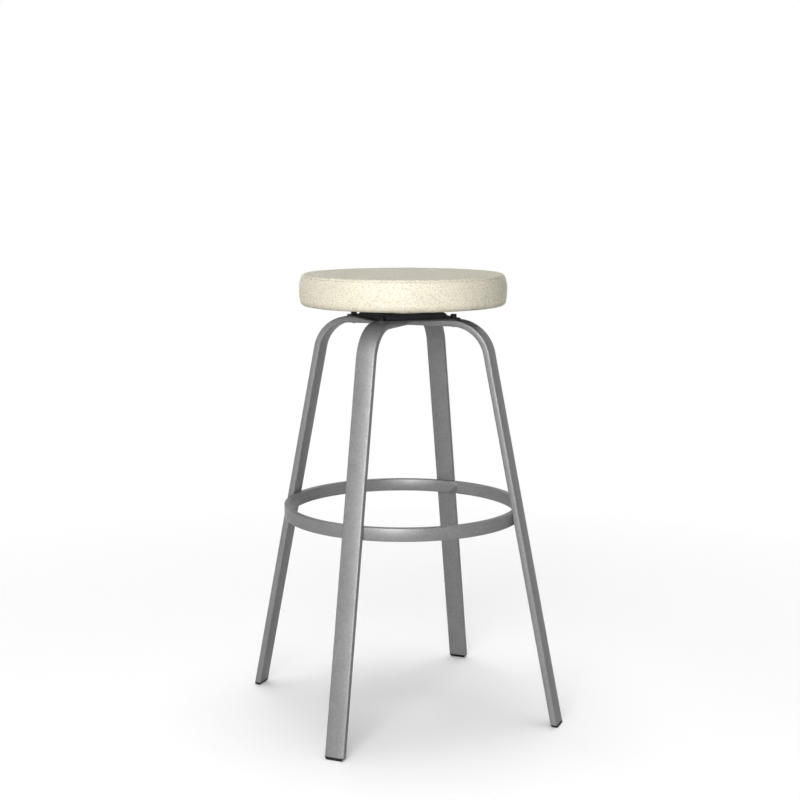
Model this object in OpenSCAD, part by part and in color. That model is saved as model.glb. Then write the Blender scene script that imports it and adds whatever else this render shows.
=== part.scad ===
// Swivel spectator stool: a round upholstered seat on a ball-bearing swivel,
// carried by four bent flat-tube legs that a footrest ring ties together.
// The origin is on the floor under the seat's centre, +Z is up and the front faces -Y.
// The legs stand on the diagonals. Millimetres throughout.

/* [Seat] */
// Height of the seat's top above the floor
seat_height = 876; // [800:1:960]
// Widest diameter of the upholstered seat
seat_d = 407; // [380:1:440]
// Depth of the seat from its top to the underside of its cover
seat_depth = 61.5; // [52:0.5:75]
// Rise of the seat's top panel from its edge to its centre
seat_crown = 1.0; // [0.5:0.25:8]
// Height of the seat's widest level above its underside
belly_height = 31.5; // [26:0.5:36]
// Distance that the side draws in between its widest level and the top edge
draw_top = 3.6; // [2:0.2:6]
// Distance that the side draws in between its widest level and the bottom edge
draw_bottom = 2.2; // [1:0.2:5]
// Radius of the cushion's top edge
top_edge_r = 8.6; // [6:0.2:12]
// Radius of the cushion's bottom edge
bottom_edge_r = 7.5; // [5:0.5:10]
// Depth of the crease where the top panel is sewn to the side band
seam_crease = 0.8; // [0.4:0.1:1]
// Thickness of the seat's cover material
cover_t = 1.2; // [0.8:0.1:1.6]
// Width of the band's hem, folded under the board and stapled
hem_w = 26; // [18:1:34]
// Thickness of the plywood seat board
board_t = 12.7; // [9:0.1:18]
// Width of the foam between the board's edge and the cover
foam_wrap = 5; // [3:0.5:9]
// Thickness of the cloth dust cover under the board
dust_t = 0.6; // [0.4:0.1:1]

/* [Legs] */
// Width of the leg tube across its flat face
leg_w = 38.1; // [32:0.1:45]
// Thickness of the leg tube
leg_t = 12.7; // [10:0.1:16]
// Wall of the leg tube
leg_wall = 1.65; // [1.2:0.05:2.5]
// Outer corner radius of the leg tube's section
leg_corner_r = 2.2; // [1.8:0.1:3]
// Radius of the bend below the seat, on the tube's centreline
leg_bend_r = 72; // [60:1:85]
// Angle of each leg from the vertical
leg_splay = 11.42; // [9:0.1:13]
// Distance from the axis to each leg's centreline at the floor
foot_r = 326; // [310:1:345]

/* [Footrest ring] */
// Height of the ring's top face above the floor
ring_top = 420; // [360:1:470]
// Height of the ring's tube
ring_h = 25.4; // [20:0.1:32]
// Radial thickness of the ring's tube
ring_t = 12.7; // [10:0.1:16]
// Wall of the ring's tube
ring_wall = 2.4; // [2.2:0.1:3]
// Outer corner radius of the ring's section
ring_corner_r = 1.6; // [1:0.1:2.4]
// Depth of the flat that seats the ring's top edge against each sloping leg
ring_cope = 1.9; // [1.2:0.1:2]
// Direction of the ring's closing joint from the axis
joint_direction = 39.3; // [30:0.1:60]
// Angle round the ring that the splice bar inside its joint takes up
splice_turn = 11; // [9:0.5:16]
// Half the length of the ground point at the joint
joint_half = 10.4; // [8:0.1:12]
// Depth of the joint's point below the ring's top
joint_point_z = 7.5; // [5:0.1:10]
// Slope of the joint's upper ground face into the ring
joint_upper_slope = 28; // [15:1:32]
// Slope of the joint's lower ground face into the ring
joint_lower_slope = 22; // [12:1:25]

/* [Glides] */
// Height of each glide's pad below the tube's end
glide_h = 5.9; // [4:0.1:9]
// Chamfer along the bottom of each glide's two long sides
glide_chamfer = 2.2; // [1:0.1:3]
// Chamfer across the bottom of each glide's two ends
glide_end_chamfer = 5.2; // [1:0.1:9]
// Length of the glide's plug inside the tube
plug_l = 22; // [14:1:35]
// Wall of the hollow plug
plug_wall = 2; // [1.5:0.1:2.6]
// Clearance between the plug and the tube's bore
plug_gap = 0.15; // [0.1:0.05:0.3]

/* [Swivel plates] */
// Height of the whole swivel, from the leg tubes to the seat's underside
swivel_h = 26.4; // [23:0.1:32]
// Side of each square swivel plate
plate_w = 177.8; // [170:0.2:190]
// Corner radius of each plate
plate_corner_r = 15; // [8:0.5:25]
// Thickness of the pressed sheet
plate_t = 2.5; // [2:0.1:3]
// Half the width of the raised centre where it leaves the flange
dish_half = 74; // [70:0.5:76]
// Corner radius of the raised centre where it leaves the flange
dish_corner_r = 20; // [16:0.5:26]
// Spacing of the square pattern of bolts
bolt_spacing = 149.6; // [147:0.2:152]
// Width of the clearance round a bolt in a plate's hole
plate_hole_gap = 0.4; // [0.2:0.1:0.8]

/* [Bearing] */
// Diameter of the bearing balls
ball_d = 6.35; // [5.5:0.05:7]
// Number of balls
ball_count = 24; // [16:1:28]
// Radius of the ball circle
race_r = 50; // [40:0.5:52]
// Gap between the two plates' raised faces
deck_gap = 3.3; // [3:0.1:3.8]
// Running clearance round each ball in its groove
ball_gap = 0.05; // [0.02:0.01:0.1]
// Thickness of the ball cage
cage_t = 1.2; // [0.8:0.1:1.6]
// Width of the cage on each side of the ball circle
cage_rim = 6; // [5:0.5:7]
// Clearance round each ball in the cage
pocket_gap = 0.15; // [0.1:0.05:0.3]
// Diameter of the centre rivet's stem
rivet_d = 10; // [8:0.1:13]
// Diameter of the centre rivet's two heads
rivet_head_d = 19; // [17:0.5:24]
// Height of the centre rivet's heads
rivet_head_h = 3; // [2:0.1:3.5]
// Running clearance of the rivet's stem in the upper plate
rivet_gap = 0.08; // [0.04:0.01:0.1]
// Diameter of the thrust washer
washer_d = 24; // [22:0.5:28]
// Thickness of the thrust washer
washer_t = 1.5; // [1:0.1:2]
// Axial play of the swivel under the thrust washer
swivel_play = 0.3; // [0.2:0.05:0.4]

/* [Fasteners] */
// Diameter of the bolts that hold the swivel to the legs
bolt_d = 7.9; // [6:0.1:8.5]
// Diameter of the bolts' cylindrical heads
bolt_head_d = 11.9; // [11:0.1:12.2]
// Height of the bolts' heads
bolt_head_h = 7.9; // [5:0.1:8.5]
// Distance across the flats of the bolts' sockets
bolt_key = 6.4; // [5:0.1:7]
// Length of bolt that stands out below the tube
bolt_tip = 2.2; // [1:0.1:5]
// Diameter of the threaded bushes in the tubes
bush_d = 14; // [11.5:0.1:16]
// Diameter of the screws that hold the seat to the swivel
screw_d = 6.3; // [5:0.1:7]
// Diameter of the seat screws' heads
screw_head_d = 12.5; // [11:0.1:14]
// Height of the seat screws' domed heads
screw_head_h = 3.6; // [2.6:0.1:4.4]
// Diameter of the tee nuts' barrels
tee_barrel_d = 8.8; // [8.2:0.1:10]
// Diameter of the tee nuts' flanges
tee_flange_d = 19; // [16:0.5:22]
// Thickness of the tee nuts' flanges
tee_flange_t = 1.4; // [1:0.1:2]
// Clearance round a threaded shank
thread_gap = 0.05; // [0.02:0.01:0.1]

/* [Hidden] */

// Facets on full rounds and on small rounds, and steps of an outline's arc
round_fn = 96;
small_fn = 48;
arc_steps = 8;
// Steps round a leg's bend and round each corner of its section
bend_steps = 16;
corner_steps = 3;
// Allowance by which a cutting shape passes the face that it cuts
past = 1;
// Clearance of foam from what it lies against
soft_gap = 0.3;

// Levels
seat_under = seat_height - seat_depth;
board_under = seat_under + cover_t;
board_top = board_under + board_t;
swivel_top = board_under - dust_t;
cross_top = swivel_top - swivel_h;

// Directions of the four legs from the axis
FRONT_RIGHT = -45;
REAR_RIGHT = 45;
REAR_LEFT = 135;
FRONT_LEFT = 225;
LEG_DIRECTIONS = [FRONT_RIGHT, REAR_RIGHT, REAR_LEFT, FRONT_LEFT];

// Path of a leg's centreline in its own plane, as [distance from the axis, height]
leg_centre_z = cross_top - leg_t / 2;
leg_turn = 90 - leg_splay;
leg_corner_x = foot_r - leg_centre_z * tan(leg_splay);
leg_flat_end = leg_corner_x - leg_bend_r * tan(leg_turn / 2);
leg_bend_z = leg_centre_z - leg_bend_r;
leg_drop = [leg_flat_end + leg_bend_r * cos(leg_splay), leg_bend_z + leg_bend_r * sin(leg_splay)];
leg_straight = leg_drop[1] / cos(leg_splay) + leg_t;

// Distance from the axis to a leg's inner face at the ring's top
leg_inner_at_ring = foot_r - ring_top * tan(leg_splay) - leg_t / 2 / cos(leg_splay);
ring_r = leg_inner_at_ring + ring_cope;

// The joint's point lies short of its right end, and its upper line runs up to the ring's top
joint_point_y = -0.8 * joint_half;
joint_upper_run = 1.4 * joint_half;

// Swivel
bolt_r = bolt_spacing / sqrt(2);
dish_rise = (swivel_h - deck_gap) / 2 - plate_t;
dish_centre = dish_half - dish_corner_r;
// Setback of the pressing's inner slopes, to a whole hundredth so that its slopes and its round
// corners meet exactly
sheet_step = round(100 * plate_t * (sqrt(2) - 1)) / 100;
ball_z = cross_top + swivel_h / 2;
groove_r = ball_d / 2 + ball_gap;
rivet_under = cross_top + dish_rise;
rivet_upper = swivel_top - dish_rise;

// Cushion: the side is two arcs that meet at the widest level, and each edge is an arc
// that runs into the side
seat_r = seat_d / 2;
belly_z = seat_under + belly_height;
edge_top_z = seat_height - seat_crown;
upper_rise = edge_top_z - top_edge_r - belly_z;
lower_fall = belly_z - seat_under - bottom_edge_r;
upper_side_r = (upper_rise ^ 2 + draw_top ^ 2) / (2 * draw_top);
lower_side_r = (lower_fall ^ 2 + draw_bottom ^ 2) / (2 * draw_bottom);
upper_side_x = seat_r - upper_side_r;
lower_side_x = seat_r - lower_side_r;
top_edge_x = upper_side_x + sqrt((upper_side_r - top_edge_r) ^ 2 - upper_rise ^ 2);
bottom_edge_x = lower_side_x + sqrt((lower_side_r - bottom_edge_r) ^ 2 - lower_fall ^ 2);
top_edge_start = atan2(upper_rise, top_edge_x - upper_side_x);
bottom_edge_start = atan2(lower_fall, bottom_edge_x - lower_side_x);
board_r = min(bottom_edge_x, bottom_edge_x + bottom_edge_r - cover_t - foam_wrap);
hem_r = bottom_edge_x - hem_w;

// Points along an arc in the plane of [distance from the axis, height]
function arc(centre, r, from, to) = [
    for (i = [0 : arc_steps]) let (a = from + (to - from) * i / arc_steps)
        [centre[0] + r * cos(a), centre[1] + r * sin(a)]
];

// Stations down a leg from the bend's top, as [distance from the axis, height, angle of the
// outer face's normal above level]
leg_stations = concat(
    [
        for (i = [0 : bend_steps]) let (a = 90 - leg_turn * i / bend_steps)
            [leg_flat_end + leg_bend_r * cos(a), leg_bend_z + leg_bend_r * sin(a), a]
    ],
    [[leg_drop[0] + leg_straight * sin(leg_splay), leg_drop[1] - leg_straight * cos(leg_splay), leg_splay]]
);
// The same path mirrored to the other side and run from the foot up
mirrored_stations = [for (s = reversed(leg_stations)) [-s[0], s[1], 180 - s[2]]];

// Points round the leg tube's section as [out from the centreline, across], set in from its
// outer face: each corner is an arc, and inside the tube a point
function section_points(inset) = let (
    x = leg_t / 2 - inset,
    y = leg_w / 2 - inset,
    r = inset > 0 ? 0 : leg_corner_r,
    steps = inset > 0 ? 0 : corner_steps
) [
    for (corner = [0 : 3], i = [0 : steps]) let (
        a = corner * 90 + (steps > 0 ? 90 * i / steps : 45),
        side_x = corner == 0 || corner == 3 ? 1 : -1,
        side_y = corner < 2 ? 1 : -1
    )
        [side_x * (x - r) + r * cos(a), side_y * (y - r) + r * sin(a)]
];

// Points of the seat's top from the centre out, set in from the surface by a thickness
function crown_line(inset) = [
    for (i = [0 : arc_steps]) let (x = top_edge_x * i / arc_steps)
        [x, seat_height - inset - seat_crown * (x / top_edge_x) ^ 2]
];
function top_edge_line(inset) =
    arc([top_edge_x, edge_top_z - top_edge_r], top_edge_r - inset, 90, top_edge_start);
function upper_side_line(inset) =
    arc([upper_side_x, belly_z], upper_side_r - inset, top_edge_start, 0);
function lower_side_line(inset) =
    arc([lower_side_x, belly_z], lower_side_r - inset, 0, -bottom_edge_start);
function bottom_edge_line(inset) =
    arc([bottom_edge_x, seat_under + bottom_edge_r], bottom_edge_r - inset, -bottom_edge_start, -90);
function without_first(line) = [for (i = [1 : len(line) - 1]) line[i]];
function reversed(line) = [for (i = [len(line) - 1 : -1 : 0]) line[i]];
function band_line(inset) = concat(
    upper_side_line(inset),
    without_first(lower_side_line(inset)),
    without_first(bottom_edge_line(inset))
);

module leg_colour() color([0.62, 0.62, 0.63]) children();
module black_colour() color([0.12, 0.12, 0.13]) children();
module steel_colour() color([0.78, 0.78, 0.80]) children();
module cover_colour() color([0.90, 0.88, 0.78]) children();

// A rectangle with round corners, centred
module round_rectangle(w, h, r) {
    square([w - 2 * r, h], center = true);
    square([w, h - 2 * r], center = true);
    for (x = [-1, 1], y = [-1, 1])
        translate([x * (w / 2 - r), y * (h / 2 - r)])
            circle(r, $fn = small_fn);
}

// The leg tube's section, set in from its outer face
module leg_section(inset) {
    round_rectangle(leg_t - 2 * inset, leg_w - 2 * inset, leg_corner_r - inset);
}

// The sloping straight of a leg, in the plane of +X and Z
module leg_straight_run(inset) {
    translate([leg_drop[0], 0, leg_drop[1]])
        rotate([0, 180 - leg_splay, 0])
            linear_extrude(leg_straight)
                leg_section(inset);
}

// A solid that follows a leg's path: one ring of the section's points at each station
module leg_sweep(stations, inset) {
    section = section_points(inset);
    n = len(section);
    last = len(stations) - 1;
    points = [
        for (s = stations, p = section)
            [s[0] + p[0] * cos(s[2]), p[1], s[1] + p[0] * sin(s[2])]
    ];
    sides = [
        for (j = [0 : last - 1], i = [0 : n - 1]) let (
            a = j * n + i,
            b = j * n + (i + 1) % n
        )
            each [[a, b, b + n], [a, b + n, a + n]]
    ];
    caps = [[for (i = [n - 1 : -1 : 0]) i], [for (i = [0 : n - 1]) last * n + i]];
    polyhedron(points, concat(sides, caps), convexity = 6);
}

// What is cut from every leg: the floor end, level with the floor, and the bush's hole
module leg_cuts() {
    translate([foot_r - leg_w, -leg_w, glide_h - 2 * leg_w])
        cube([2 * leg_w, 2 * leg_w, 2 * leg_w]);
    translate([bolt_r, 0, leg_centre_z - leg_t / 2 - past])
        cylinder(h = leg_t + 2 * past, d = bush_d, $fn = small_fn);
}

// A leg that starts at a side face of the cross tube
module half_leg(direction) {
    rotate([0, 0, direction])
        difference() {
            leg_sweep(concat([[leg_w / 2, leg_centre_z, 90]], leg_stations), 0);
            leg_sweep(concat([[leg_w / 2 - past, leg_centre_z, 90]], leg_stations), leg_wall);
            leg_cuts();
        }
}

// One tube from the rear left foot over the top to the front right foot
module cross_leg() {
    path = concat(mirrored_stations, leg_stations);
    leg_colour()
        rotate([0, 0, FRONT_RIGHT])
            difference() {
                leg_sweep(path, 0);
                leg_sweep(path, leg_wall);
                for (turn = [0, 180])
                    rotate([0, 0, turn])
                        leg_cuts();
            }
}

module front_left_leg() {
    leg_colour() half_leg(FRONT_LEFT);
}

module rear_right_leg() {
    leg_colour() half_leg(REAR_RIGHT);
}

// The ring's section, set in from its outer face
module ring_section(inset) {
    translate([ring_r - ring_t / 2, ring_top - ring_h / 2])
        round_rectangle(ring_t - 2 * inset, ring_h - 2 * inset, max(ring_corner_r - inset, 0.4));
}

// A face ground into the ring's inner side, above (1) or below (-1) a line that goes up by rise
// over run on its way from the joint's point
module joint_cut(rise, run, face_slope, side) {
    reach = 2 * ring_h;
    start = past / tan(face_slope);
    translate([ring_r - ring_t, joint_point_y, ring_top - joint_point_z])
        rotate([atan2(rise, run) + 90, 0, 0])
            linear_extrude(2 * reach, center = true)
                polygon([[-past, -side * start], [reach * tan(face_slope), side * reach], [-past, side * reach]]);
}

// The ring's two ends meet over a splice, ground to a point on the inner side
module joint_cuts() {
    rotate([0, 0, joint_direction])
        intersection() {
            translate([ring_r - ring_t - past, -joint_half, ring_top - ring_h - past])
                cube([ring_t, 3 * joint_half, ring_h + 2 * past]);
            union() {
                joint_cut(joint_point_z, joint_upper_run, joint_upper_slope, 1);
                joint_cut(joint_point_z - ring_h, joint_half - joint_point_y, joint_lower_slope, -1);
            }
        }
}

// A rolled tube, ground flat to the slope of each leg that it is welded to
module footrest_ring() {
    leg_colour()
        difference() {
            rotate_extrude($fn = round_fn)
                ring_section(0);
            rotate([0, 0, joint_direction + splice_turn / 2])
                rotate_extrude(angle = 360 - splice_turn, $fn = round_fn)
                    ring_section(ring_wall);
            joint_cuts();
            for (direction = LEG_DIRECTIONS)
                rotate([0, 0, direction])
                    leg_straight_run(0);
        }
}

// A wedge of pad: its profile, widening upwards at 45 degrees from a half width at the floor
module pad_wedge(half, length) {
    rotate([90, 0, 0])
        linear_extrude(length, center = true)
            polygon([[-half, 0], [half, 0], [half + glide_h, glide_h], [-half - glide_h, glide_h]]);
}

// A plastic pad under the tube's end, with a hollow plug that goes up into the tube
module glide(direction) {
    pad_half_x = leg_t / 2 / cos(leg_splay) - glide_chamfer;
    pad_half_y = leg_w / 2 - min(glide_end_chamfer, glide_h);
    along = [foot_r - glide_h * tan(leg_splay), 0, glide_h];
    bore_inset = leg_wall + plug_gap;
    rotate([0, 0, direction]) {
        intersection() {
            leg_straight_run(0);
            translate([foot_r, 0, 0])
                pad_wedge(pad_half_x, 2 * leg_w);
            translate([foot_r, 0, 0])
                rotate([0, 0, 90])
                    pad_wedge(pad_half_y, 2 * leg_w);
        }
        difference() {
            translate(along)
                rotate([0, -leg_splay, 0])
                    translate([0, 0, -leg_t / 2])
                        linear_extrude(plug_l + leg_t / 2)
                            leg_section(bore_inset);
            translate(along)
                rotate([0, -leg_splay, 0])
                    translate([0, 0, leg_t / 2])
                        linear_extrude(plug_l)
                            square([leg_t - 2 * (bore_inset + plug_wall), leg_w - 2 * (bore_inset + plug_wall)],
                                center = true);
            translate([foot_r - leg_w, -leg_w, glide_h - 2 * leg_w])
                cube([2 * leg_w, 2 * leg_w, 2 * leg_w]);
        }
    }
}

module front_left_glide() {
    black_colour() glide(FRONT_LEFT);
}

module front_right_glide() {
    black_colour() glide(FRONT_RIGHT);
}

module rear_left_glide() {
    black_colour() glide(REAR_LEFT);
}

module rear_right_glide() {
    black_colour() glide(REAR_RIGHT);
}

// Copies at the four places of the bolt pattern
module at_bolts() {
    for (direction = LEG_DIRECTIONS)
        rotate([0, 0, direction])
            translate([bolt_r, 0, 0])
                children();
}

// Welded bushes that carry the bolts' threads through the tubes
module leg_bushes() {
    leg_colour()
        at_bolts()
            translate([0, 0, cross_top - leg_t])
                difference() {
                    cylinder(h = leg_t, d = bush_d, $fn = small_fn);
                    translate([0, 0, -past])
                        cylinder(h = leg_t + 2 * past, d = bolt_d + 2 * thread_gap, $fn = small_fn);
                }
}

// A square pyramid stump with round corners, standing on z = 0
module dish(half, rise) {
    for (x = [-1, 1], y = [-1, 1])
        translate([x * dish_centre, y * dish_centre, 0])
            cylinder(h = rise, r1 = half - dish_centre, r2 = half - rise - dish_centre, $fn = round_fn);
    for (turn = [0, 90])
        rotate([90, 0, turn])
            linear_extrude(2 * dish_centre, center = true)
                polygon([[-half, 0], [half, 0], [half - rise, rise], [rise - half, rise]]);
}

// A pressed plate, flange down at z = 0, with its ball groove in the raised face
module pressing(centre_hole_d, bolt_hole_d) {
    deck = dish_rise + plate_t;
    groove_z = deck + deck_gap / 2;
    difference() {
        union() {
            linear_extrude(plate_t)
                round_rectangle(plate_w, plate_w, plate_corner_r);
            translate([0, 0, plate_t])
                dish(dish_half, dish_rise);
        }
        difference() {
            translate([0, 0, -past])
                dish(dish_half - sheet_step + past, dish_rise + past);
            rotate_extrude($fn = round_fn)
                translate([race_r, groove_z])
                    circle(groove_r + plate_t, $fn = small_fn);
        }
        rotate_extrude($fn = round_fn)
            translate([race_r, groove_z])
                circle(groove_r, $fn = small_fn);
        translate([0, 0, -past])
            cylinder(h = deck + 2 * past, d = centre_hole_d, $fn = small_fn);
        at_bolts()
            translate([0, 0, -past])
                cylinder(h = plate_t + 2 * past, d = bolt_hole_d, $fn = small_fn);
    }
}

module lower_swivel_plate() {
    black_colour()
        translate([0, 0, cross_top])
            pressing(rivet_d + 2 * thread_gap, bolt_d + 2 * plate_hole_gap);
}

module upper_swivel_plate() {
    black_colour()
        translate([0, 0, swivel_top])
            mirror([0, 0, 1])
                pressing(rivet_d + 2 * rivet_gap, screw_d + 2 * plate_hole_gap);
}

// Socket-head bolts through the lower plate into the legs' bushes
module swivel_bolts() {
    seat_z = cross_top + plate_t;
    shank_l = plate_t + leg_t + bolt_tip;
    head_round = 1.2;
    tip_chamfer = 0.8;
    socket_depth = bolt_head_h / 2;
    black_colour()
        at_bolts()
            translate([0, 0, seat_z])
                difference() {
                    rotate_extrude($fn = small_fn)
                        polygon(concat(
                            [[0, bolt_head_h]],
                            arc([bolt_head_d / 2 - head_round, bolt_head_h - head_round], head_round, 90, 0),
                            [[bolt_head_d / 2, 0], [bolt_d / 2, 0], [bolt_d / 2, tip_chamfer - shank_l]],
                            [[bolt_d / 2 - tip_chamfer, -shank_l], [0, -shank_l]]
                        ));
                    translate([0, 0, bolt_head_h - socket_depth])
                        cylinder(h = socket_depth + past, d = bolt_key / cos(30), $fn = 6);
                }
}

// Rivet that holds the two plates together, headed under the lower plate and over the washer
module centre_rivet() {
    head_z = rivet_upper + swivel_play + washer_t;
    steel_colour() {
        translate([0, 0, rivet_under - rivet_head_h])
            cylinder(h = rivet_head_h, d = rivet_head_d, $fn = small_fn);
        translate([0, 0, rivet_under - rivet_head_h])
            cylinder(h = head_z - rivet_under + rivet_head_h, d = rivet_d, $fn = small_fn);
        translate([0, 0, head_z])
            cylinder(h = rivet_head_h, d1 = rivet_head_d, d2 = rivet_head_d - rivet_head_h, $fn = small_fn);
    }
}

module thrust_washer() {
    steel_colour()
        translate([0, 0, rivet_upper + swivel_play])
            difference() {
                cylinder(h = washer_t, d = washer_d, $fn = small_fn);
                translate([0, 0, -past])
                    cylinder(h = washer_t + 2 * past, d = rivet_d + 2 * thread_gap, $fn = small_fn);
            }
}

// Copies at the balls' places
module at_balls() {
    for (i = [0 : ball_count - 1])
        rotate([0, 0, i * 360 / ball_count])
            translate([race_r, 0, ball_z])
                children();
}

module bearing_balls() {
    steel_colour()
        at_balls()
            sphere(d = ball_d, $fn = small_fn);
}

// Flat ring that keeps the balls apart
module ball_cage() {
    color([0.85, 0.84, 0.78])
        difference() {
            translate([0, 0, ball_z - cage_t / 2])
                difference() {
                    cylinder(h = cage_t, r = race_r + cage_rim, $fn = round_fn);
                    translate([0, 0, -past])
                        cylinder(h = cage_t + 2 * past, r = race_r - cage_rim, $fn = round_fn);
                }
            at_balls()
                cylinder(h = cage_t + 2 * past, d = ball_d + 2 * pocket_gap, center = true, $fn = small_fn);
        }
}

// Screws up through the upper plate, the dust cover and the board into the tee nuts
module seat_screws() {
    under_head = swivel_top - plate_t;
    shank_l = plate_t + dust_t + board_t - 2 * tee_flange_t;
    dome_r = (screw_head_h ^ 2 + (screw_head_d / 2) ^ 2) / (2 * screw_head_h);
    slot = 1.6;
    steel_colour()
        at_bolts()
            translate([0, 0, under_head])
                difference() {
                    union() {
                        intersection() {
                            translate([0, 0, dome_r - screw_head_h])
                                sphere(dome_r, $fn = round_fn);
                            translate([0, 0, -screw_head_h])
                                cylinder(h = screw_head_h, d = screw_head_d, $fn = small_fn);
                        }
                        translate([0, 0, -past])
                            cylinder(h = shank_l + past, d = screw_d, $fn = small_fn);
                    }
                    for (turn = [0, 90])
                        rotate([0, 0, turn])
                            translate([0, 0, -screw_head_h])
                                cube([slot * 4, slot, slot * 2], center = true);
                }
}

// Tee nuts let into the board's upper face
module tee_nuts() {
    barrel_l = board_t * 0.7;
    steel_colour()
        at_bolts()
            translate([0, 0, board_top])
                difference() {
                    union() {
                        translate([0, 0, -tee_flange_t])
                            cylinder(h = tee_flange_t, d = tee_flange_d, $fn = small_fn);
                        translate([0, 0, -barrel_l])
                            cylinder(h = barrel_l, d = tee_barrel_d, $fn = small_fn);
                    }
                    translate([0, 0, -barrel_l - past])
                        cylinder(h = barrel_l + 2 * past, d = screw_d + 2 * thread_gap, $fn = small_fn);
                }
}

module seat_board() {
    color([0.80, 0.66, 0.46])
        translate([0, 0, board_under])
            difference() {
                cylinder(h = board_t, r = board_r, $fn = round_fn);
                at_bolts()
                    translate([0, 0, -past])
                        cylinder(h = board_t + 2 * past, d = tee_barrel_d + 2 * thread_gap, $fn = small_fn);
                at_bolts()
                    translate([0, 0, board_t - tee_flange_t])
                        cylinder(h = tee_flange_t + past, d = tee_flange_d + 2 * thread_gap, $fn = small_fn);
            }
}

// Foam over the board and round its edge, just inside the cover
module seat_foam() {
    inset = cover_t + soft_gap;
    color([0.95, 0.90, 0.70])
        rotate_extrude($fn = round_fn)
            difference() {
                polygon(concat(
                    crown_line(inset),
                    without_first(top_edge_line(inset)),
                    without_first(band_line(inset)),
                    [[0, seat_under + inset]]
                ));
                translate([-past, seat_under - past])
                    square([board_r + soft_gap + past, board_top + soft_gap - seat_under + past]);
            }
}

// Round top of the cover, turned down over the edge and creased at its seam
module seat_top_panel() {
    outer = concat(crown_line(0), without_first(top_edge_line(0)));
    inner = concat(crown_line(cover_t), without_first(top_edge_line(cover_t)));
    seam = [cos(top_edge_start), sin(top_edge_start)];
    cover_colour()
        rotate_extrude($fn = round_fn)
            polygon(concat(
                outer,
                [outer[len(outer) - 1] - seam_crease * seam - soft_gap / 2 * [-seam[1], seam[0]]],
                reversed(inner)
            ));
}

// Side of the cover, from the seam down round the bottom edge to its stapled hem
module seat_side_band() {
    outer = without_first(band_line(0));
    inner = without_first(band_line(cover_t));
    first = band_line(0)[0];
    seam = [cos(top_edge_start), sin(top_edge_start)];
    cover_colour()
        rotate_extrude($fn = round_fn)
            polygon(concat(
                [first - seam_crease * seam + soft_gap * [seam[1], -seam[0]]],
                outer,
                [[hem_r, seat_under], [hem_r, board_under]],
                reversed(inner)
            ));
}

// Cloth over the board's underside and the hem's edge
module dust_cover() {
    lap = hem_w / 3;
    color([0.10, 0.10, 0.11])
        difference() {
            rotate_extrude($fn = round_fn)
                polygon([
                    [0, swivel_top], [hem_r - 2 * cover_t, swivel_top], [hem_r - cover_t / 2, seat_under - dust_t],
                    [hem_r + lap, seat_under - dust_t], [hem_r + lap, seat_under], [hem_r, seat_under],
                    [hem_r - 2 * cover_t + dust_t, board_under], [0, board_under],
                ]);
            at_bolts()
                translate([0, 0, swivel_top - past])
                    cylinder(h = dust_t + 2 * past, d = screw_d + 2 * plate_hole_gap, $fn = small_fn);
        }
}

cross_leg();
front_left_leg();
rear_right_leg();
footrest_ring();
front_left_glide();
front_right_glide();
rear_left_glide();
rear_right_glide();
leg_bushes();
lower_swivel_plate();
swivel_bolts();
centre_rivet();
thrust_washer();
bearing_balls();
ball_cage();
upper_swivel_plate();
seat_screws();
tee_nuts();
seat_board();
seat_foam();
seat_top_panel();
seat_side_band();
dust_cover();
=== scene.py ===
"""Looks for the swivel spectator stool: a round upholstered seat on a ball-bearing swivel, four
bent flat-tube legs and a footrest ring. Metres, Z up, the front faces -Y, the floor is z = 0."""

import math
import random

import bpy
import numpy as np
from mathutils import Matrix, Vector, kdtree


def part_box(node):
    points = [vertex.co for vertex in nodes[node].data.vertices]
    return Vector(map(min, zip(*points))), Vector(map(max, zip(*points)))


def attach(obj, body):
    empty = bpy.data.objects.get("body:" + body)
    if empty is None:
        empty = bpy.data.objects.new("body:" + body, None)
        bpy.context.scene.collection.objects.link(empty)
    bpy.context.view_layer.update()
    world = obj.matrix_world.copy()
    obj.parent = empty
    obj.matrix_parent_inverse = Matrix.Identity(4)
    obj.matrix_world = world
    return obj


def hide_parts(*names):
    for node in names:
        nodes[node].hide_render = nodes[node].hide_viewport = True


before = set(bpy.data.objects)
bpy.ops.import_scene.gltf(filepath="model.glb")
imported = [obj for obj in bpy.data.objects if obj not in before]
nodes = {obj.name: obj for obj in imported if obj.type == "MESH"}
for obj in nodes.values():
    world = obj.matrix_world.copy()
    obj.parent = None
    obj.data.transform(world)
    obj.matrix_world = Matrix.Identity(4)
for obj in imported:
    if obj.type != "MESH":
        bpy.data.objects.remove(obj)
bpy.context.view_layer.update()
MM = 0.001

# Camera
CAMERA_AT = (-1.1097, -2.6764, 1.0525)
CAMERA_DOWN = 8.399
CAMERA_HEADING = -22.40
CAMERA_LENS = 66.59

camera_data = bpy.data.cameras.new("camera")
camera_data.lens = CAMERA_LENS
camera_data.sensor_width = 36.0
camera = bpy.data.objects.new("camera", camera_data)
camera.location = CAMERA_AT
camera.rotation_euler = (math.radians(90 - CAMERA_DOWN), 0.0, math.radians(CAMERA_HEADING))
bpy.context.scene.collection.objects.link(camera)
bpy.context.scene.camera = camera
bpy.context.scene.view_settings.view_transform = "Standard"


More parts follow.
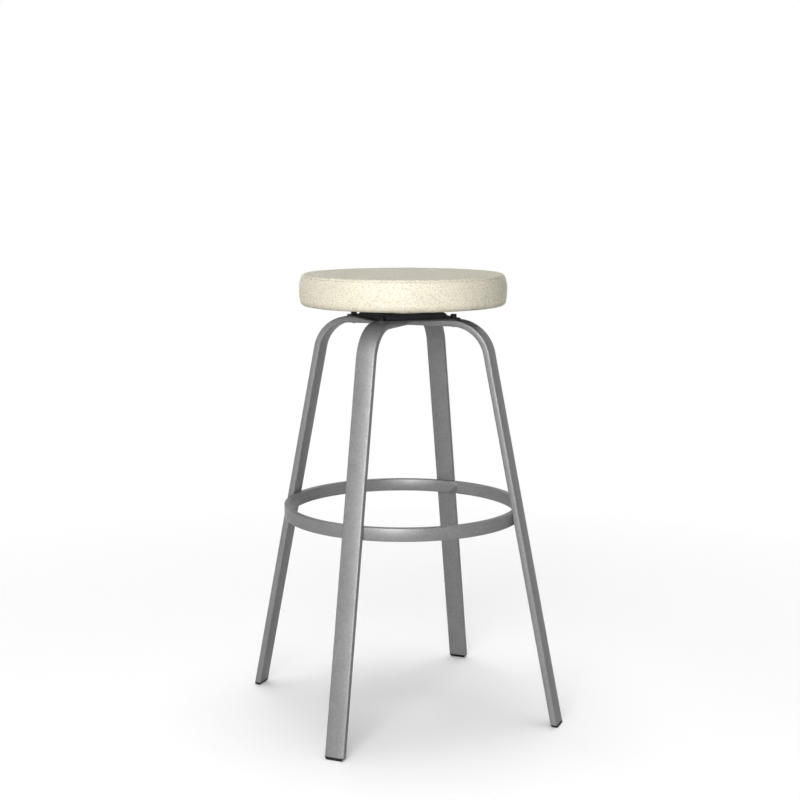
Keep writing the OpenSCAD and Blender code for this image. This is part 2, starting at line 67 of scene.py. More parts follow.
# Node helpers
class Nodes:
    """Short calls for building a node tree."""

    def __init__(self, tree):
        self.tree = tree

    def add(self, kind, inputs=None, **settings):
        node = self.tree.nodes.new(kind)
        for name, value in settings.items():
            setattr(node, name, value)
        for name, value in (inputs or {}).items():
            self.feed(node, name, value)
        return node

    def feed(self, node, name, value):
        socket = node.inputs[name]
        if isinstance(value, bpy.types.NodeSocket):
            self.tree.links.new(value, socket)
        else:
            socket.default_value = value

    def math(self, operation, a, b=0.0, clamp=False):
        node = self.add("ShaderNodeMath", {0: a, 1: b}, operation=operation)
        node.use_clamp = clamp
        return node.outputs[0]

    def mix(self, factor, a, b, blend="MIX"):
        node = self.add("ShaderNodeMix", {0: factor, 6: a, 7: b}, data_type="RGBA", blend_type=blend)
        return node.outputs[2]

    def noise(self, coordinate, scale, detail=2.0, rough=0.5, out="Fac"):
        inputs = {"Vector": coordinate, "Scale": scale, "Detail": detail, "Roughness": rough}
        return self.add("ShaderNodeTexNoise", inputs).outputs[out]

    def range(self, value, low, high, to_low=0.0, to_high=1.0):
        inputs = {0: value, 1: low, 2: high, 3: to_low, 4: to_high}
        return self.add("ShaderNodeMapRange", inputs).outputs[0]

    def scaled(self, vector, factor):
        node = self.add("ShaderNodeVectorMath", {0: vector, "Scale": factor}, operation="SCALE")
        return node.outputs[0]

    def axis(self, vector, index):
        return self.add("ShaderNodeSeparateXYZ", {0: vector}).outputs[index]

    def bump(self, height, strength, distance, normal=None):
        inputs = {"Height": height, "Strength": strength, "Distance": distance}
        if normal is not None:
            inputs["Normal"] = normal
        return self.add("ShaderNodeBump", inputs).outputs[0]

    def edges(self, radius, full=0.10):
        """A normal that rounds sharp corners, and a mask that is 1 along them."""
        soft = self.add("ShaderNodeBevel", {"Radius": radius}, samples=4).outputs[0]
        flat = self.add("ShaderNodeNewGeometry").outputs["Normal"]
        facing = self.add("ShaderNodeVectorMath", {0: soft, 1: flat}, operation="DOT_PRODUCT")
        return soft, self.range(self.math("SUBTRACT", 1.0, facing.outputs["Value"]), 0.0, full)


def grey(value, warm=0.0):
    return (value * (1 + warm), value, value * (1 - warm), 1.0)


def new_material(name):
    """An empty material: its node helper, its object coordinate and its shader."""
    material = bpy.data.materials.new(name)
    material.use_nodes = True
    tree = material.node_tree
    tree.nodes.clear()
    n = Nodes(tree)
    shader = n.add("ShaderNodeBsdfPrincipled")
    out = n.add("ShaderNodeOutputMaterial")
    tree.links.new(shader.outputs[0], out.inputs[0])
    coordinate = n.add("ShaderNodeTexCoord").outputs["Object"]
    return material, n, coordinate, shader


# Floor and world
WORLD_FILL = 0.08
FLOOR_SIZE = 60.0
FLOOR_COLOUR = 0.40
FLOOR_SEEN_COLOUR = 0.97
FLOOR_GLOW = 0.06
FLOOR_WHITE_FROM = 0.8
FLOOR_WHITE_AT = 1.9


def background_rays(n):
    """1 where a ray shows the background: from the camera, off gloss or through glass."""
    path = n.add("ShaderNodeLightPath")
    seen = n.math("MAXIMUM", path.outputs["Is Camera Ray"], path.outputs["Is Glossy Ray"])
    return n.math("MAXIMUM", seen, path.outputs["Is Transmission Ray"])


world = bpy.data.worlds.new("studio")
bpy.context.scene.world = world
world.use_nodes = True
world.node_tree.nodes.clear()
wn = Nodes(world.node_tree)
strength = wn.range(background_rays(wn), 0.0, 1.0, WORLD_FILL, 1.0)
sky = wn.add("ShaderNodeBackground", {"Color": (1, 1, 1, 1), "Strength": strength})
world_out = wn.add("ShaderNodeOutputWorld")
world.node_tree.links.new(sky.outputs[0], world_out.inputs[0])

floor_mesh = bpy.data.meshes.new("floor")
h = FLOOR_SIZE / 2
floor_mesh.from_pydata([(-h, -h, 0), (h, -h, 0), (h, h, 0), (-h, h, 0)], [], [(0, 1, 2, 3)])
floor = bpy.data.objects.new("floor", floor_mesh)
bpy.context.scene.collection.objects.link(floor)
floor_material = bpy.data.materials.new("floor_white")
floor_material.use_nodes = True
ft = floor_material.node_tree
ft.nodes.clear()
fn = Nodes(ft)
seen = background_rays(fn)
shown_colour = fn.range(seen, 0.0, 1.0, FLOOR_COLOUR, FLOOR_SEEN_COLOUR)
diffuse = fn.add("ShaderNodeBsdfDiffuse", {"Color": shown_colour})
glow = fn.add("ShaderNodeEmission", {"Strength": fn.math("MULTIPLY", seen, FLOOR_GLOW)})
near = fn.add("ShaderNodeAddShader", {0: diffuse.outputs[0], 1: glow.outputs[0]})
place = fn.add("ShaderNodeTexCoord").outputs["Object"]
away = fn.add("ShaderNodeVectorMath", {0: place}, operation="LENGTH")
far_share = fn.range(away.outputs["Value"], FLOOR_WHITE_FROM, FLOOR_WHITE_AT)
white = fn.add("ShaderNodeEmission", {"Strength": 1.0})
as_white = fn.math("MULTIPLY", seen, far_share)
both = fn.add("ShaderNodeMixShader", {0: as_white, 1: near.outputs[0], 2: white.outputs[0]})
clear = fn.add("ShaderNodeBsdfTransparent")
under = fn.add("ShaderNodeNewGeometry").outputs["Backfacing"]
sided = fn.add("ShaderNodeMixShader", {0: under, 1: both.outputs[0], 2: clear.outputs[0]})
floor_out = fn.add("ShaderNodeOutputMaterial")
ft.links.new(sided.outputs[0], floor_out.inputs[0])
floor_mesh.materials.append(floor_material)

# Lamps
LAMP_AIM = Vector((0.0, 0.0, 0.55))


def area_lamp(name, azimuth, elevation, distance, size, level, tall=None):
    """A soft lamp aimed at the stool, round, or upright where tall is given. At level 1 it lights
    a facing white surface to 1."""
    data = bpy.data.lights.new(name, "AREA")
    data.shape = "DISK" if tall is None else "RECTANGLE"
    data.size = size
    data.size_y = size if tall is None else tall
    data.energy = level * math.pi**2 * distance**2
    lamp = bpy.data.objects.new(name, data)
    a, e = math.radians(azimuth), math.radians(elevation)
    away = Vector((math.sin(a) * math.cos(e), -math.cos(a) * math.cos(e), math.sin(e)))
    lamp.location = LAMP_AIM + away * distance
    lamp.rotation_euler = away.to_track_quat("Z", "Y").to_euler()
    bpy.context.scene.collection.objects.link(lamp)
    return lamp


area_lamp("key", -34.5, 12.0, 6.0, 3.4, 0.765)
area_lamp("high_fill", -30.0, 38.0, 4.0, 2.4, 0.09).visible_glossy = False
area_lamp("sheen_strip", -43.5, 33.0, 4.0, 1.6, 1.4, tall=3.4).visible_diffuse = False
sheen_spot = area_lamp("sheen_spot", -29.0, 9.0, 4.0, 0.9, 1.45)
sheen_spot.visible_diffuse = False
sheen_spot.data.use_shadow = False
for lamp_name, azimuth, level in (("back_left", 187.5, 0.24), ("back_right", 127.5, 0.17)):
    area_lamp(lamp_name, azimuth, 7.0, 8.0, 4.5, level).visible_glossy = False


def sun_lamp(name, angle, level):
    """A soft lamp almost overhead. At level 1 it lights a level white surface to about 1."""
    data = bpy.data.lights.new(name, "SUN")
    data.angle = math.radians(angle)
    data.energy = level * math.pi
    lamp = bpy.data.objects.new(name, data)
    lamp.location = (0, 0, 3)
    lamp.rotation_euler = Vector((0.03, 0.07, 1.0)).to_track_quat("Z", "Y").to_euler()
    bpy.context.scene.collection.objects.link(lamp)
    return lamp


sun_lamp("top", 42.0, 0.155)
floor_only = bpy.data.collections.new("floor_only")
floor_only.objects.link(floor)
sun_lamp("floor_top", 46.0, 0.42).light_linking.receiver_collection = floor_only


# Materials
WORN_GREY = grey(0.16)


def powder_coat(name="silver_powder_coat", crown=None):
    """Silver-grey textured powder coat with fine metallic flakes. A crown gives the middle height
    and the half width of a flat band whose face is slightly domed."""
    material, n, at, shader = new_material(name)
    flake = n.add("ShaderNodeTexVoronoi", {"Vector": at, "Scale": 1 / (0.9 * MM)}).outputs["Color"]
    flake = n.add("ShaderNodeSeparateColor", {0: flake}).outputs[0]
    mottle = n.noise(at, 1 / (4.5 * MM), 3.0, 0.6)
    cloud = n.noise(at, 1 / (30 * MM), 3.0)
    level = n.math("ADD", n.range(flake, 0.0, 1.0, -0.10, 0.10), n.range(mottle, 0.3, 0.7, -0.11, 0.11))
    level = n.math("ADD", level, n.range(cloud, 0.3, 0.7, -0.05, 0.05))
    edge_normal, edge = n.edges(2.0 * MM, 0.2)
    # Corners lighter and smoother: partly worn coat, partly a painted highlight along them.
    edge_wear_and_highlight = n.math("MULTIPLY", edge, n.range(n.noise(at, 1 / (6 * MM), 4.0, 0.7), 0.42, 0.62))
    bright = n.math("ADD", n.math("ADD", level, 1.0), n.math("MULTIPLY", edge_wear_and_highlight, 0.30))
    # With a crown, painted shade darkens the downward faces at the ring's joint.
    if crown is not None:
        bright = n.math("MULTIPLY", bright, joint_painted_shade(n, at))
    n.feed(shader, "Base Color", n.scaled(grey(0.240)[:3], bright))
    n.feed(shader, "Metallic", 0.12)
    rough = n.range(n.noise(at, 1 / (3 * MM)), 0.3, 0.7, 0.36, 0.44)
    n.feed(shader, "Roughness", n.math("SUBTRACT", rough, n.math("MULTIPLY", edge_wear_and_highlight, 0.06)))
    n.feed(shader, "Specular IOR Level", 0.25)
    n.feed(shader, "Specular Tint", (0.5, 0.5, 0.5, 1.0))
    peel = n.noise(at, 1 / (1.3 * MM), 3.0)
    normal = edge_normal
    if crown is not None:
        middle, half = crown
        away = n.math("DIVIDE", n.math("SUBTRACT", n.axis(at, 2), middle), half)
        normal = n.bump(n.math("MULTIPLY", n.math("MULTIPLY", away, away), -1.0), 1.0, RING_DOME)
    n.feed(shader, "Normal", n.bump(peel, 0.4, 0.10 * MM, normal))
    return material


def joint_painted_shade(n, at):
    """Painted shade at the ring's joint: near it, faces that tilt downwards, as its lower ground face
    does, are darkened.
    """
    turn = math.radians(JOINT_TURN)
    inner = ring_high.x - RING_T
    joint = (inner * math.cos(turn), inner * math.sin(turn), (ring_low.z + ring_high.z) / 2)
    away = n.add("ShaderNodeVectorMath", {0: at, 1: joint}, operation="DISTANCE").outputs["Value"]
    tilt = n.axis(n.add("ShaderNodeNewGeometry").outputs["True Normal"], 2)
    near = n.range(away, 16 * MM, 18 * MM, 1.0, 0.0)
    ground = n.math("MULTIPLY", near, n.math("GREATER_THAN", tilt, -0.5))
    return n.math("SUBTRACT", 1.0, n.math("MULTIPLY", n.range(tilt, -0.28, 0.0, 0.28, 0.0), ground))


def plain(name, colour, rough, metallic=0.0, specular=0.5, depth=0.02 * MM, wear=0.0):
    """A moulded, painted or plated surface: a colour with fine variation and a fine grain, rounded
    corners, and a lighter grey where its corners have worn."""
    material, n, at, shader = new_material(name)
    cloud = n.noise(at, 1 / (9 * MM), 4.0, 0.6)
    base = n.scaled(colour[:3], n.range(cloud, 0.3, 0.7, 0.94, 1.06))
    edge_normal, edge = n.edges(0.5 * MM)
    worn = n.math("MULTIPLY", edge, n.range(n.noise(at, 1 / (3 * MM), 4.0, 0.7), 0.45, 0.6, 0.0, wear))
    n.feed(shader, "Base Color", n.mix(worn, base, WORN_GREY))
    n.feed(shader, "Metallic", metallic)
    n.feed(shader, "Roughness", n.range(n.noise(at, 1 / (2 * MM)), 0.3, 0.7, rough - 0.05, rough + 0.05))
    n.feed(shader, "Specular IOR Level", specular)
    n.feed(shader, "Normal", n.bump(n.noise(at, 1 / (0.6 * MM), 3.0), 0.4, depth, edge_normal))
    return material


def plywood():
    """Birch ply: long grain across the face and darker plies along the edge."""
    material, n, at, shader = new_material("birch_plywood")
    across = n.add("ShaderNodeMapping", {"Vector": at, "Scale": (4.0, 60.0, 1.0)}).outputs[0]
    grain = n.noise(across, 3.0, 6.0, 0.6)
    face = n.mix(n.range(grain, 0.35, 0.65), (0.50, 0.34, 0.19, 1), (0.66, 0.50, 0.31, 1))
    ply = n.math("FRACT", n.math("DIVIDE", n.axis(at, 2), 2.8 * MM))
    side = n.math("GREATER_THAN", ply, 0.5)
    n.feed(shader, "Base Color", n.mix(n.math("MULTIPLY", side, 0.35), face, (0.36, 0.23, 0.12, 1)))
    n.feed(shader, "Roughness", 0.7)
    n.feed(shader, "Normal", n.bump(grain, 0.3, 0.1 * MM))
    return material


def vinyl(seam_z):
    """Cream upholstery vinyl with a pebble grain, with painted shade in the crease of its seam and along
    its bottom edge.
    """
    material, n, at, shader = new_material("cream_pebble_vinyl")
    warp = n.scaled(n.noise(at, 1 / (4 * MM), 2.0, out="Color"), 1.6 * MM)
    warped = n.add("ShaderNodeVectorMath", {0: at, 1: warp}, operation="ADD").outputs[0]
    squat = n.add("ShaderNodeMapping", {"Vector": warped, "Scale": (1.0, 1.0, 1.9)}).outputs[0]
    pebble = n.add("ShaderNodeTexVoronoi", {"Vector": squat, "Scale": 1 / (3.8 * MM), "Smoothness": 0.3},
                   feature="SMOOTH_F1").outputs["Distance"]
    fine = n.noise(at, 1 / (0.8 * MM), 2.0)
    cloud = n.noise(at, 1 / (30 * MM), 3.0)
    valley = n.range(pebble, 0.42, 0.76)
    tone = n.mix(valley, (0.985, 0.93, 0.76, 1), (0.81, 0.75, 0.58, 1))
    tone = n.mix(n.range(cloud, 0.3, 0.7, 0.0, 0.12), tone, (0.86, 0.82, 0.68, 1))
    height = n.axis(at, 2)
    from_seam = n.math("ABSOLUTE", n.math("SUBTRACT", height, seam_z))
    # Painted shade: a thin dark line along the seam's crease.
    painted_seam_shade = n.range(from_seam, 0.0, SEAM_HALF * 0.8, 0.45, 0.0)
    tone = n.mix(painted_seam_shade, tone, (0.34, 0.30, 0.21, 1))
    # Painted shade: the vinyl darkens over the last few millimetres above the bottom edge, where it
    # faces downwards.
    painted_bottom_shade = n.math("MULTIPLY", n.range(height, SEAT_UNDER + 2 * MM, SEAT_UNDER + 11 * MM, 0.7, 0.0),
                  n.range(n.noise(at, 1 / (12 * MM), 4.0, 0.6), 0.3, 0.7, 0.6, 1.0))
    tone = n.mix(painted_bottom_shade, tone, (0.42, 0.37, 0.27, 1))
    n.feed(shader, "Base Color", tone)
    n.feed(shader, "Roughness", n.range(valley, 0.0, 1.0, 0.33, 0.66))
    n.feed(shader, "Specular IOR Level", 0.2)
    relief = n.math("ADD", n.math("MULTIPLY", valley, -1.0), n.math("MULTIPLY", fine, 0.35))
    n.feed(shader, "Normal", n.bump(relief, 1.0, 0.6 * MM))
    return material


def cloth(name, colour):
    """Spun-bonded dust cloth with its pattern of pressed points."""
    material, n, at, shader = new_material(name)
    fibres = n.noise(at, 1 / (1.2 * MM), 5.0, 0.7)
    points = n.add("ShaderNodeTexVoronoi", {"Vector": at, "Scale": 1 / (1.6 * MM), "Randomness": 0.15})
    n.feed(shader, "Base Color", n.scaled(colour[:3], n.range(fibres, 0.3, 0.7, 0.7, 1.3)))
    n.feed(shader, "Roughness", 0.85)
    n.feed(shader, "Specular IOR Level", 0.25)
    height = n.math("ADD", n.range(points.outputs[0], 0.15, 0.3), n.math("MULTIPLY", fibres, 0.5))
    n.feed(shader, "Normal", n.bump(height, 0.5, 0.12 * MM))
    return material


RING_DOME = 1.0 * MM
RING_T = 12.7 * MM
JOINT_TURN = 39.3
ring_low, ring_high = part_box("footrest_ring")
ring_crown = ((ring_low.z + ring_high.z) / 2, (ring_high.z - ring_low.z) / 2)
coat = powder_coat()
ring_coat = powder_coat("silver_powder_coat_ring", ring_crown)
black_coat = plain("black_satin_coat", grey(0.05), 0.6, specular=0.25, wear=0.3)
black_bolt = plain("black_oxide", grey(0.010), 0.65, specular=0.12, wear=0.15)
glide_black = plain("black_moulded_plastic", grey(0.005), 0.7, specular=0.12, wear=0.12)
zinc = plain("zinc_plate", (0.62, 0.62, 0.60, 1), 0.35, metallic=1.0)
ball_steel = plain("polished_steel", (0.72, 0.72, 0.73, 1), 0.12, metallic=1.0, depth=0.002 * MM)
nylon = plain("natural_nylon", (0.72, 0.70, 0.62, 1), 0.5)

NODE_LOOKS = {
    coat: ["cross_leg", "front_left_leg", "rear_right_leg", "leg_bushes"],
    ring_coat: ["footrest_ring"],
    black_coat: ["lower_swivel_plate", "upper_swivel_plate"],
    black_bolt: ["swivel_bolts"],
    glide_black: ["front_left_glide", "front_right_glide", "rear_left_glide", "rear_right_glide"],
    zinc: ["centre_rivet", "thrust_washer", "seat_screws", "tee_nuts"],
    ball_steel: ["bearing_balls"],
    nylon: ["ball_cage"],
    plywood(): ["seat_board"],
}
for material, names in NODE_LOOKS.items():
    for name in names:
        nodes[name].data.materials.clear()
        nodes[name].data.materials.append(material)


# Soft edges of the leg tubes
def soft_edges():
    """A modifier tree that joins the tubes' facets and marks only their true corners sharp."""
    tree = bpy.data.node_groups.new("soft_edges", "GeometryNodeTree")
    tree.interface.new_socket("Geometry", in_out="INPUT", socket_type="NodeSocketGeometry")
    tree.interface.new_socket("Geometry", in_out="OUTPUT", socket_type="NodeSocketGeometry")
    n = Nodes(tree)
    start = n.add("NodeGroupInput")
    end = n.add("NodeGroupOutput")
    bare = n.add("GeometryNodeRemoveAttribute", {"Geometry": start.outputs[0], "Name": "custom_normal"})
    joined = n.add("GeometryNodeMergeByDistance", {"Geometry": bare.outputs[0], "Distance": 0.01 * MM})
    smooth = n.add("GeometryNodeSetShadeSmooth", {"Geometry": joined.outputs[0], "Shade Smooth": True})
    angle = n.add("GeometryNodeInputMeshEdgeAngle").outputs[0]
    corner = n.add("FunctionNodeCompare", {0: angle, 1: math.radians(35)}, data_type="FLOAT",
                   operation="GREATER_THAN").outputs[0]
    sharp = n.add("GeometryNodeSetShadeSmooth", {"Geometry": smooth.outputs[0], "Selection": corner,
                                                 "Shade Smooth": False}, domain="EDGE")
    tree.links.new(sharp.outputs[0], end.inputs[0])
    return tree


soft_tree = soft_edges()
for name in ("cross_leg", "front_left_leg", "rear_right_leg"):
    join = nodes[name].modifiers.new("soft_edges", "NODES")
    join.node_group = soft_tree
    weighted = nodes[name].modifiers.new("weighted", "WEIGHTED_NORMAL")
    weighted.mode = "CORNER_ANGLE"
    weighted.keep_sharp = True


# Seat cushion
DRAW_TOP = 3.6 * MM
DRAW_BOTTOM = 2.2 * MM
TOP_EDGE_R = 7.8 * MM
BOTTOM_EDGE_R = 7.5 * MM
CROWN = 1.0 * MM
BELLY_HEIGHT = 31.5 * MM
COVER_T = 1.2 * MM
HEM_W = 26.0 * MM
SEAM_DEPTH = 0.5 * MM
SEAM_HALF = 0.9 * MM
BOARD_CLEAR = 0.3 * MM
ROUND_STEPS = 320
STAPLE_COUNT = 60
STAPLE_IN = 5 * MM
SIM_VOXEL = 5 * MM
SIM_INSET = 1.0 * MM
SIM_CAP = 2.5 * MM
SIM_FRAMES = 20
SIM_SHARE = 0.5

band_low, band_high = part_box("seat_side_band")
panel_low, panel_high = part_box("seat_top_panel")
board_low, board_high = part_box("seat_board")
SEAT_R = band_high.x
SEAT_TOP = panel_high.z
SEAT_UNDER = band_low.z


def arc_points(centre, r, start, end, step):
    """Points along an arc, about step apart, without its first point."""
    count = max(2, int(abs(math.radians(end - start)) * r / step))
    turns = [math.radians(start + (end - start) * i / count) for i in range(1, count + 1)]
    return [(centre[0] + r * math.cos(a), centre[1] + r * math.sin(a)) for a in turns]


def line_points(a, b, step):
    """Points along a straight line, about step apart, without its first point."""
    count = max(1, int(math.dist(a, b) / step))
    across, up = b[0] - a[0], b[1] - a[1]
    return [(a[0] + across * i / count, a[1] + up * i / count) for i in range(1, count + 1)]


def cushion_profile():
    """The cushion's half section from the top's centre round to the board's recess, and the
    place of the seam along it."""
    belly_z = SEAT_UNDER + BELLY_HEIGHT
    edge_z = SEAT_TOP - CROWN
    rise = edge_z - TOP_EDGE_R - belly_z
    fall = belly_z - SEAT_UNDER - BOTTOM_EDGE_R
    upper_r = (rise**2 + DRAW_TOP**2) / (2 * DRAW_TOP)
    lower_r = (fall**2 + DRAW_BOTTOM**2) / (2 * DRAW_BOTTOM)
    upper_x, lower_x = SEAT_R - upper_r, SEAT_R - lower_r
    top_x = upper_x + math.sqrt((upper_r - TOP_EDGE_R) ** 2 - rise**2)
    bottom_x = lower_x + math.sqrt((lower_r - BOTTOM_EDGE_R) ** 2 - fall**2)
    top_turn = math.degrees(math.atan2(rise, top_x - upper_x))
    bottom_turn = math.degrees(math.atan2(fall, bottom_x - lower_x))
    line = [(0.0, SEAT_TOP)]
    steps = 90
    line += [(top_x * i / steps, SEAT_TOP - CROWN * (i / steps) ** 3) for i in range(1, steps + 1)]
    line += arc_points((top_x, edge_z - TOP_EDGE_R), TOP_EDGE_R, 90, top_turn, 0.7 * MM)
    seam = line[-1]
    line += arc_points((upper_x, belly_z), upper_r, top_turn, 0, 1.0 * MM)
    line += arc_points((lower_x, belly_z), lower_r, 0, -bottom_turn, 1.4 * MM)
    edge_at = (bottom_x, SEAT_UNDER + BOTTOM_EDGE_R)
    line += arc_points(edge_at, BOTTOM_EDGE_R, -bottom_turn, -90, 1.2 * MM)
    hem_x = bottom_x - HEM_W
    outer_count = len(line)
    line += line_points(line[-1], (hem_x, SEAT_UNDER), 2.5 * MM)
    hem_end = len(line)
    recess_x = board_high.x + BOARD_CLEAR
    line += [(hem_x, SEAT_UNDER + COVER_T - 0.02 * MM)]
    line += line_points(line[-1], (recess_x, line[-1][1]), 6 * MM)
    line += line_points(line[-1], (recess_x, board_high.z + BOARD_CLEAR), 4 * MM)
    line += line_points(line[-1], (0.0, board_high.z + BOARD_CLEAR), 12 * MM)
    return line, seam, outer_count, hem_end


def revolve(name, line, steps):
    """A closed mesh: the line turned about Z. Both of the line's ends lie on the axis."""
    ring = [(math.cos(2 * math.pi * i / steps), math.sin(2 * math.pi * i / steps)) for i in range(steps)]
    points = [(0.0, 0.0, line[0][1])]
    for x, z in line[1:-1]:
        points += [(x * c, x * s, z) for c, s in ring]
    points.append((0.0, 0.0, line[-1][1]))
    faces = [(0, 1 + i, 1 + (i + 1) % steps) for i in range(steps)]
    rows = len(line) - 2
    for row in range(rows - 1):
        a = 1 + row * steps
        b = a + steps
        faces += [(a + i, b + i, b + (i + 1) % steps, a + (i + 1) % steps) for i in range(steps)]
    a = 1 + (rows - 1) * steps
    last = len(points) - 1
    faces += [(a + i, last, a + (i + 1) % steps) for i in range(steps)]
    mesh = bpy.data.meshes.new(name)
    mesh.from_pydata(points, [], faces)
    mesh.update()
    mesh.polygons.foreach_set("use_smooth", [True] * len(mesh.polygons))
    made = bpy.data.objects.new(name, mesh)
    bpy.context.scene.collection.objects.link(made)
    return made


profile, seam_at, outer_count, hem_end = cushion_profile()
cushion = revolve("seat_cushion", profile, ROUND_STEPS)


def read_vectors(items, name):
    """A vector of every item as one array."""
    values = np.zeros(len(items) * 3)
    items.foreach_get(name, values)
    return values.reshape(-1, 3)


# Row of the profile that each of the cushion's points lies on, and its place along the section
lengths = np.cumsum([0.0] + [math.dist(a, b) for a, b in zip(profile, profile[1:])])
point_row = np.zeros(len(cushion.data.vertices), int)
point_row[1:-1] = 1 + np.arange(len(point_row) - 2) // ROUND_STEPS
point_row[-1] = len(profile) - 1
STAPLE_R = profile[hem_end - 1][0] + STAPLE_IN


def filled_lie(obj):
    """How far pressure moves the cover along its normal at each of the cushion's points, less the
    mean round the seat. A smaller, remeshed copy is filled as cloth, held by the board's recess,
    by the staples in its hem and, less, by the seam."""
    shell = obj.copy()
    shell.data = obj.data.copy()
    shell.name = "cover_for_filling"
    bpy.context.scene.collection.objects.link(shell)
    start = read_vectors(shell.data.vertices, "co")
    normals = read_vectors(shell.data.vertices, "normal")
    start[point_row < outer_count] -= normals[point_row < outer_count] * SIM_INSET
    shell.data.vertices.foreach_set("co", start.ravel())
    remesh = shell.modifiers.new("remesh", "REMESH")
    remesh.mode = "VOXEL"
    remesh.voxel_size = SIM_VOXEL
    bpy.context.view_layer.update()
    graph = bpy.context.evaluated_depsgraph_get()
    even = bpy.data.meshes.new_from_object(shell.evaluated_get(graph))
    shell.modifiers.clear()
    shell.data = even
    rest = read_vectors(even.vertices, "co")
    r = np.hypot(rest[:, 0], rest[:, 1])
    turn = np.arctan2(rest[:, 1], rest[:, 0]) % (math.tau / STAPLE_COUNT)
    from_staple = np.minimum(turn, math.tau / STAPLE_COUNT - turn) * r
    under = rest[:, 2] < SEAT_UNDER + SIM_INSET + 3 * MM
    recess = (r < board_high.x + 3 * MM) & (rest[:, 2] < board_high.z + 3 * MM) & ~under
    stapled = under & ((r < STAPLE_R) | ((np.abs(r - STAPLE_R) < 4 * MM) & (from_staple < 4 * MM)))
    seam = (np.abs(rest[:, 2] - seam_at[1]) < 3 * MM) & (r > seam_at[0] - 8 * MM)
    held = shell.vertex_groups.new(name="held")
    held.add(np.flatnonzero(recess | stapled).tolist(), 1.0, "REPLACE")
    held.add(np.flatnonzero(seam).tolist(), 0.5, "REPLACE")
    cover = shell.modifiers.new("cover", "CLOTH")
    cover.settings.quality = 5
    cover.settings.mass = 0.3
    cover.settings.use_pressure = True
    cover.settings.uniform_pressure_force = 4.0
    cover.settings.vertex_group_mass = "held"
    cover.settings.effector_weights.gravity = 0.0
    for frame_number in range(1, SIM_FRAMES + 1):
        bpy.context.scene.frame_set(frame_number)
    graph = bpy.context.evaluated_depsgraph_get()
    filled = shell.evaluated_get(graph).to_mesh()
    moved = read_vectors(filled.vertices, "co") - rest
    length = np.linalg.norm(moved, axis=1)
    moved *= np.minimum(1.0, SIM_CAP / np.maximum(length, 1e-9))[:, None]
    shell.evaluated_get(graph).to_mesh_clear()
    bpy.context.scene.frame_set(1)
    bpy.data.objects.remove(shell)
    tree = kdtree.KDTree(len(rest))
    for i, place in enumerate(rest):
        tree.insert(place, i)
    tree.balance()
    along = np.zeros(len(point_row))
    for i in np.flatnonzero(point_row < hem_end):
        found = tree.find_n(start[i], 6)
        weights = np.array([1 / (far + 1 * MM) ** 2 for _, _, far in found])
        mean = (moved[[j for _, j, _ in found]] * weights[:, None]).sum(axis=0) / weights.sum()
        along[i] = mean @ normals[i]
    for row in range(1, hem_end):
        along[point_row == row] -= along[point_row == row].mean()
    along[0] = 0.0
    return along


def shape_cushion(obj):
    """The cover's uneven lie over its filling, then the seam's crease, the puckers along it and
    the pleats of the folded hem."""
    picks = random.Random(7)
    puckers = [(picks.randint(18, 90), picks.uniform(0, math.tau), picks.uniform(0.4, 1.0))
               for _ in range(9)]
    pleats = [(picks.randint(30, 70), picks.uniform(0, math.tau)) for _ in range(4)]
    co = read_vectors(obj.data.vertices, "co")
    normals = read_vectors(obj.data.vertices, "normal")
    turn = np.arctan2(co[:, 1], co[:, 0])
    s = lengths[point_row] - lengths[profile.index(seam_at)]
    crease = -SEAM_DEPTH * np.exp(-((s / SEAM_HALF) ** 2))
    wave = sum(w * np.sin(k * turn + p) for k, p, w in puckers) / 3.0
    reach = np.exp(-np.abs(s) / (7 * MM)) * (1 - np.exp(-((s / (1.2 * MM)) ** 2)))
    shift = np.where(point_row < outer_count, crease + 0.10 * MM * wave * reach, 0.0)
    shift += SIM_SHARE * filled_lie(obj)
    co += normals * shift[:, None]
    hem = (point_row >= outer_count) & (point_row < hem_end)
    share = np.clip((lengths[point_row] - lengths[outer_count - 1]) / HEM_W, 0, 1)
    fold = sum(np.sin(k * turn + p) for k, p in pleats) / 4.0
    co[:, 2] += np.where(hem, 0.35 * MM * np.clip(fold, 0, 1) * np.sin(share * math.pi), 0.0)
    obj.data.vertices.foreach_set("co", co.ravel())
    obj.data.update()


shape_cushion(cushion)
cushion.data.materials.append(vinyl(seam_at[1]))
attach(cushion, "seat")
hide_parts("seat_foam", "seat_top_panel", "seat_side_band")


# Dust cover and its staples
CLOTH_T = 0.45 * MM
SLACK = 0.7 * MM
SLACK_FROM = 128 * MM


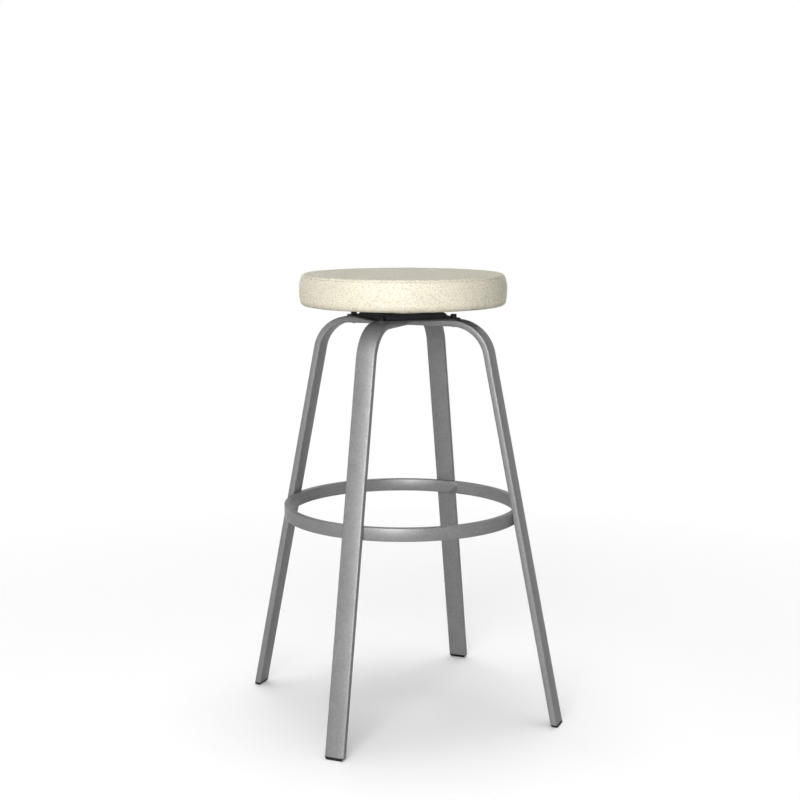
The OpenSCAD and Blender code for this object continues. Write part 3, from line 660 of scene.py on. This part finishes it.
def dust_cover():
    """The cloth under the board, pulled over the hem's edge and a little slack round the swivel."""
    cloth_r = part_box("dust_cover")[1].x
    hem_r = profile[hem_end - 1][0]
    top_in = board_low.z - 0.05 * MM
    top_out = SEAT_UNDER - 0.05 * MM
    line = [(0.0, top_in)]
    line += line_points(line[-1], (hem_r - 3 * MM, top_in), 4 * MM)
    line += line_points(line[-1], (hem_r, top_out), 1 * MM)
    line += line_points(line[-1], (cloth_r, top_out), 2 * MM)
    line += [(cloth_r, top_out - CLOTH_T)]
    line += line_points(line[-1], (hem_r, top_out - CLOTH_T), 2 * MM)
    line += line_points(line[-1], (hem_r - 3 * MM, top_in - CLOTH_T), 1 * MM)
    line += line_points(line[-1], (0.0, top_in - CLOTH_T), 4 * MM)
    made = revolve("dust_cover_cloth", line, 240)
    co = read_vectors(made.data.vertices, "co")
    r = np.hypot(co[:, 0], co[:, 1])
    turn = np.arctan2(co[:, 1], co[:, 0])
    free = np.clip((r - SLACK_FROM) / (12 * MM), 0, 1) * np.clip((hem_r - 2 * MM - r) / (10 * MM), 0, 1)
    picks = random.Random(11)
    folds = [(picks.randint(9, 46), picks.uniform(0, math.tau), picks.uniform(-60, 60))
             for _ in range(7)]
    wave = sum(np.sin(k * turn + p + q * r) for k, p, q in folds) / 3.5
    co[:, 2] -= SLACK * free * np.clip(0.5 + wave, 0, 1.5)
    made.data.vertices.foreach_set("co", co.ravel())
    made.data.update()
    made.data.materials.append(cloth("black_dust_cloth", grey(0.014)))
    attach(made, "seat")
    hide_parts("dust_cover")


def staples():
    """Wire staples through the dust cloth's rim, the hem and the board, each slightly askew."""
    picks = random.Random(5)
    z = SEAT_UNDER - 0.05 * MM - CLOTH_T
    across = ((-5.0, 0.25), (-4.6, -0.5), (-4.2, -0.65), (4.2, -0.65), (4.6, -0.5), (5.0, 0.25))
    points, faces = [], []
    for i in range(STAPLE_COUNT):
        turn = math.tau * (i + picks.uniform(-0.12, 0.12)) / STAPLE_COUNT
        skew = turn + math.radians(90 + picks.uniform(-9, 9))
        r = STAPLE_R + picks.uniform(-1.0, 1.0) * MM
        first = len(points)
        for x, drop in across:
            for side, lower in ((-0.6, 0.0), (0.6, 0.0), (0.45, 1.0), (-0.45, 1.0)):
                px = r * math.cos(turn) + (x * math.cos(skew) - side * math.sin(skew)) * MM
                py = r * math.sin(turn) + (x * math.sin(skew) + side * math.cos(skew)) * MM
                points.append((px, py, z + (drop + 0.5 * (1 - lower)) * MM))
        for j in range(len(across) - 1):
            a = first + 4 * j
            faces += [(a + k, a + 4 + k, a + 4 + (k + 1) % 4, a + (k + 1) % 4) for k in range(4)]
        last = first + 4 * (len(across) - 1)
        faces += [(first + 3, first + 2, first + 1, first), (last, last + 1, last + 2, last + 3)]
    mesh = bpy.data.meshes.new("hem_staples")
    mesh.from_pydata(points, [], faces)
    mesh.update()
    made = bpy.data.objects.new("hem_staples", mesh)
    bpy.context.scene.collection.objects.link(made)
    mesh.materials.append(zinc)
    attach(made, "seat")


dust_cover()
staples()
